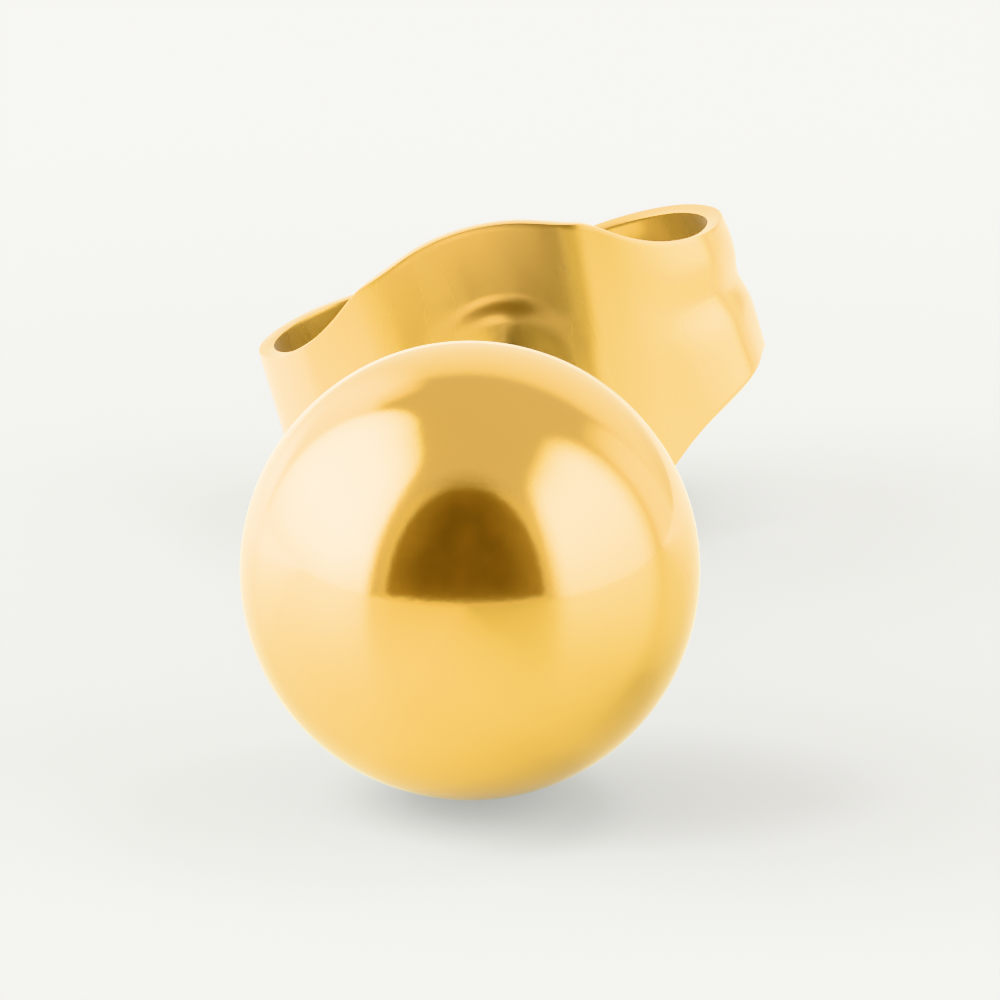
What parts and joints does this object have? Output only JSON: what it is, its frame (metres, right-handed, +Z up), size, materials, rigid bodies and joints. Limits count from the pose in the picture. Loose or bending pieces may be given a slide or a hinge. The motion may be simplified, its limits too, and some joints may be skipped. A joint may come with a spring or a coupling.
{
  "type": "ball stud earring",
  "caption": "Ball stud earring lying on its side: a polished gold-coloured ball on a straight soldered post, held by a butterfly clutch bent from one strip of sheet.",
  "frame": {"origin": "on the surface it lies on, under the middle of its overall box", "axes": "+Y runs level from the ball towards the clutch, +X to the right seen from in front of the ball, +Z up; the post dips 3.9 degrees towards +Y"},
  "size_m": [0.0058, 0.015, 0.005],
  "materials": {
    "polished_gold": "gold plated, mirror polished",
    "sheet_gold": "gold plated, rolled and bright, with a faint satin grain"
  },
  "bodies": {
    "stud": {"ball_and_post": "polished_gold"},
    "clutch": {"butterfly_clutch": "sheet_gold"}
  },
  "joints": [
    {"name": "clutch_slide", "type": "slide", "parent": "stud", "child": "clutch", "axis": [0, 0.9976, -0.0686], "range_m": [-0.006, 0.004]}
  ]
}
